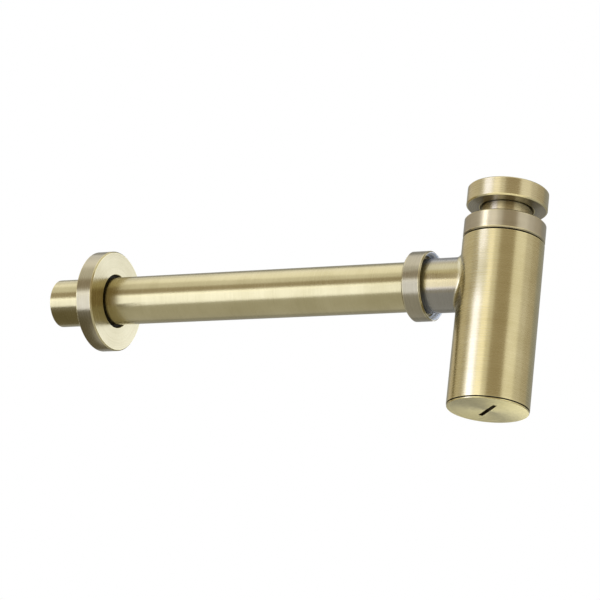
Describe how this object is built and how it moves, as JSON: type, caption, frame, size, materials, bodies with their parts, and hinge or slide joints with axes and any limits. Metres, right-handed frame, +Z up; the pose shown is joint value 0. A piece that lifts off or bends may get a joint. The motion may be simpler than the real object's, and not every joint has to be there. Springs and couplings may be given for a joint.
{
  "type": "basin bottle trap",
  "caption": "Bottle trap for a wash basin: round inlet nut, cylindrical bottle with a cleaning plug, side outlet, and a straight pipe to a wall flange.",
  "frame": {"origin": "centre of the inlet nut's mouth, on the inlet axis", "axes": "+Z up the inlet axis, -X along the wall pipe towards the wall"},
  "size_m": [0.347, 0.0674, 0.145],
  "materials": {
    "brushed_brass": "brushed antique brass, lacquered",
    "black_rubber": "moulded matt",
    "white_nylon": "moulded satin"
  },
  "bodies": {
    "inlet": {"inlet_tube": "brushed_brass", "inlet_washer": "black_rubber"},
    "inlet_nut": {"inlet_nut": "brushed_brass"},
    "bottle": {"bottle_body": "brushed_brass", "outlet_seal": "black_rubber"},
    "tube_seal": {"tube_seal": "black_rubber"},
    "top_cap": {"top_cap": "brushed_brass", "cap_seal": "black_rubber"},
    "plug_seal": {"plug_seal": "black_rubber"},
    "cleaning_plug": {"cleaning_plug": "brushed_brass"},
    "outlet_slip_ring": {"outlet_slip_ring": "white_nylon"},
    "outlet_nut": {"outlet_nut": "brushed_brass"},
    "wall_pipe": {"wall_pipe": "brushed_brass"},
    "wall_flange": {"wall_flange": "brushed_brass", "flange_grip_ring": "black_rubber"}
  },
  "joints": [
    {"name": "inlet_nut_turn", "type": "hinge", "parent": "inlet", "child": "inlet_nut", "pos_m": [0, 0, 0], "axis": [0, 0, 1], "continuous": true},
    {"name": "bottle_height", "type": "slide", "parent": "inlet", "child": "bottle", "axis": [0, 0, 1], "range_m": [-0.015, 0.005]},
    {"name": "top_cap_rise", "type": "slide", "parent": "bottle", "child": "tube_seal", "axis": [0, 0, 1], "range_m": [0, 0.004]},
    {"name": "top_cap_turn", "type": "hinge", "parent": "tube_seal", "child": "top_cap", "pos_m": [0, 0, 0], "axis": [0, 0, 1], "range_deg": [0, 720]},
    {"name": "cleaning_plug_drop", "type": "slide", "parent": "bottle", "child": "plug_seal", "axis": [0, 0, -1], "range_m": [0, 0.009]},
    {"name": "cleaning_plug_turn", "type": "hinge", "parent": "plug_seal", "child": "cleaning_plug", "pos_m": [0, 0, -0.145], "axis": [0, 0, -1], "range_deg": [0, 1620]},
    {"name": "outlet_nut_back_off", "type": "slide", "parent": "bottle", "child": "outlet_slip_ring", "axis": [-1, 0, 0], "range_m": [0, 0.00577]},
    {"name": "outlet_nut_turn", "type": "hinge", "parent": "outlet_slip_ring", "child": "outlet_nut", "pos_m": [-0.0515, 0, -0.0616], "axis": [-1, 0, 0], "range_deg": [0, 900]},
    {"name": "wall_pipe_depth", "type": "slide", "parent": "bottle", "child": "wall_pipe", "axis": [-1, 0, 0], "range_m": [-0.0015, 0.018]},
    {"name": "wall_flange_slide", "type": "slide", "parent": "wall_pipe", "child": "wall_flange", "axis": [1, 0, 0], "range_m": [-0.028, 0.205]}
  ],
  "couplings": [
    {"joint": "top_cap_rise", "follows": "top_cap_turn", "m_per_rad": 0.00031831},
    {"joint": "cleaning_plug_drop", "follows": "cleaning_plug_turn", "m_per_rad": 0.00031831},
    {"joint": "outlet_nut_back_off", "follows": "outlet_nut_turn", "m_per_rad": 0.00036749}
  ]
}
